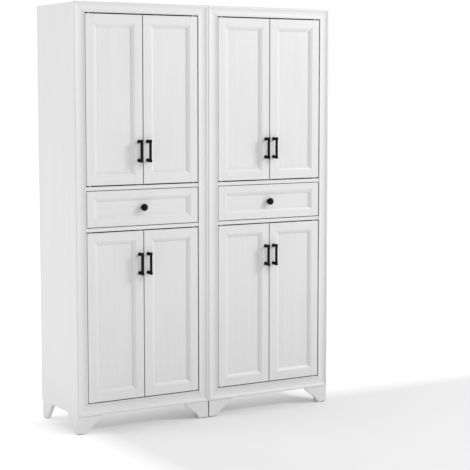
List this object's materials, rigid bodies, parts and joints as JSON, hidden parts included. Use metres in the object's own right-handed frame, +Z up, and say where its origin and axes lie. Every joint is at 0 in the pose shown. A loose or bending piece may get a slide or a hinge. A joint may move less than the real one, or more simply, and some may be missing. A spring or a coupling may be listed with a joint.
{
  "type": "pantry cabinet",
  "caption": "Tall white pantry made of twin towers, with inset framed doors above and below a drawer, bar pulls, round knobs, coved face frames and bracket feet.",
  "frame": {"origin": "on the floor under the middle of the whole cabinet, its depth counted from the front of the pulls to the back", "axes": "+X to the right seen from the front, +Y towards the back, +Z up; the doors face -Y"},
  "size_m": [1.2066, 0.3998, 1.724],
  "materials": {
    "white_lacquer": "satin white lacquer over solid wood and board, fine brush and grain texture",
    "white_board": "matt white painted fibreboard",
    "drawer_wood": "clear sealed pale hardwood",
    "black_metal": "satin black powder coat",
    "plated_steel": "bright zinc plate",
    "coated_steel": "white epoxy coat",
    "glide_plastic": "black moulded plastic",
    "catch_plastic": "white moulded plastic"
  },
  "bodies": {
    "cabinet": {"left_tower_sides": "white_lacquer", "left_tower_decks": "white_lacquer", "left_tower_shelves": "white_lacquer", "left_tower_back_panel": "white_board", "left_tower_face_frame": "white_lacquer", "right_tower_sides": "white_lacquer", "right_tower_decks": "white_lacquer", "right_tower_shelves": "white_lacquer", "right_tower_back_panel": "white_board", "right_tower_face_frame": "white_lacquer", "front_feet": "white_lacquer", "floor_glides": "glide_plastic", "pivot_bushes": "plated_steel", "drawer_tracks": "coated_steel", "track_spacers": "drawer_wood", "shelf_pins": "plated_steel", "door_catches": "catch_plastic", "joining_bolts": "plated_steel"},
    "left_tower_upper_left_door": {"left_tower_upper_left_door_frame": "white_lacquer", "left_tower_upper_left_door_panel": "white_lacquer", "left_tower_upper_left_door_pull": "black_metal", "left_tower_upper_left_door_fittings": "plated_steel"},
    "left_tower_upper_right_door": {"left_tower_upper_right_door_frame": "white_lacquer", "left_tower_upper_right_door_panel": "white_lacquer", "left_tower_upper_right_door_pull": "black_metal", "left_tower_upper_right_door_fittings": "plated_steel"},
    "left_tower_lower_left_door": {"left_tower_lower_left_door_frame": "white_lacquer", "left_tower_lower_left_door_panel": "white_lacquer", "left_tower_lower_left_door_pull": "black_metal", "left_tower_lower_left_door_fittings": "plated_steel"},
    "left_tower_lower_right_door": {"left_tower_lower_right_door_frame": "white_lacquer", "left_tower_lower_right_door_panel": "white_lacquer", "left_tower_lower_right_door_pull": "black_metal", "left_tower_lower_right_door_fittings": "plated_steel"},
    "left_tower_drawer": {"left_tower_drawer_front_frame": "white_lacquer", "left_tower_drawer_front_panel": "white_lacquer", "left_tower_drawer_knob": "black_metal", "left_tower_drawer_box": "drawer_wood", "left_tower_drawer_fittings": "plated_steel"},
    "right_tower_upper_left_door": {"right_tower_upper_left_door_frame": "white_lacquer", "right_tower_upper_left_door_panel": "white_lacquer", "right_tower_upper_left_door_pull": "black_metal", "right_tower_upper_left_door_fittings": "plated_steel"},
    "right_tower_upper_right_door": {"right_tower_upper_right_door_frame": "white_lacquer", "right_tower_upper_right_door_panel": "white_lacquer", "right_tower_upper_right_door_pull": "black_metal", "right_tower_upper_right_door_fittings": "plated_steel"},
    "right_tower_lower_left_door": {"right_tower_lower_left_door_frame": "white_lacquer", "right_tower_lower_left_door_panel": "white_lacquer", "right_tower_lower_left_door_pull": "black_metal", "right_tower_lower_left_door_fittings": "plated_steel"},
    "right_tower_lower_right_door": {"right_tower_lower_right_door_frame": "white_lacquer", "right_tower_lower_right_door_panel": "white_lacquer", "right_tower_lower_right_door_pull": "black_metal", "right_tower_lower_right_door_fittings": "plated_steel"},
    "right_tower_drawer": {"right_tower_drawer_front_frame": "white_lacquer", "right_tower_drawer_front_panel": "white_lacquer", "right_tower_drawer_knob": "black_metal", "right_tower_drawer_box": "drawer_wood", "right_tower_drawer_fittings": "plated_steel"}
  },
  "joints": [
    {"name": "left_tower_upper_left_door_pivot", "type": "hinge", "parent": "cabinet", "child": "left_tower_upper_left_door", "pos_m": [-0.53655, -0.15905, 0.9987], "axis": [0, 0, -1], "range_deg": [0, 95]},
    {"name": "left_tower_upper_right_door_pivot", "type": "hinge", "parent": "cabinet", "child": "left_tower_upper_right_door", "pos_m": [-0.0667, -0.15905, 0.9987], "axis": [0, 0, 1], "range_deg": [0, 95]},
    {"name": "left_tower_lower_left_door_pivot", "type": "hinge", "parent": "cabinet", "child": "left_tower_lower_left_door", "pos_m": [-0.53655, -0.15905, 0.1233], "axis": [0, 0, -1], "range_deg": [0, 95]},
    {"name": "left_tower_lower_right_door_pivot", "type": "hinge", "parent": "cabinet", "child": "left_tower_lower_right_door", "pos_m": [-0.0667, -0.15905, 0.1233], "axis": [0, 0, 1], "range_deg": [0, 95]},
    {"name": "left_tower_drawer_slide", "type": "slide", "parent": "cabinet", "child": "left_tower_drawer", "axis": [0, -1, 0], "range_m": [0, 0.25]},
    {"name": "right_tower_upper_left_door_pivot", "type": "hinge", "parent": "cabinet", "child": "right_tower_upper_left_door", "pos_m": [0.0667, -0.15905, 0.9987], "axis": [0, 0, -1], "range_deg": [0, 95]},
    {"name": "right_tower_upper_right_door_pivot", "type": "hinge", "parent": "cabinet", "child": "right_tower_upper_right_door", "pos_m": [0.53655, -0.15905, 0.9987], "axis": [0, 0, 1], "range_deg": [0, 95]},
    {"name": "right_tower_lower_left_door_pivot", "type": "hinge", "parent": "cabinet", "child": "right_tower_lower_left_door", "pos_m": [0.0667, -0.15905, 0.1233], "axis": [0, 0, -1], "range_deg": [0, 95]},
    {"name": "right_tower_lower_right_door_pivot", "type": "hinge", "parent": "cabinet", "child": "right_tower_lower_right_door", "pos_m": [0.53655, -0.15905, 0.1233], "axis": [0, 0, 1], "range_deg": [0, 95]},
    {"name": "right_tower_drawer_slide", "type": "slide", "parent": "cabinet", "child": "right_tower_drawer", "axis": [0, -1, 0], "range_m": [0, 0.25]}
  ]
}
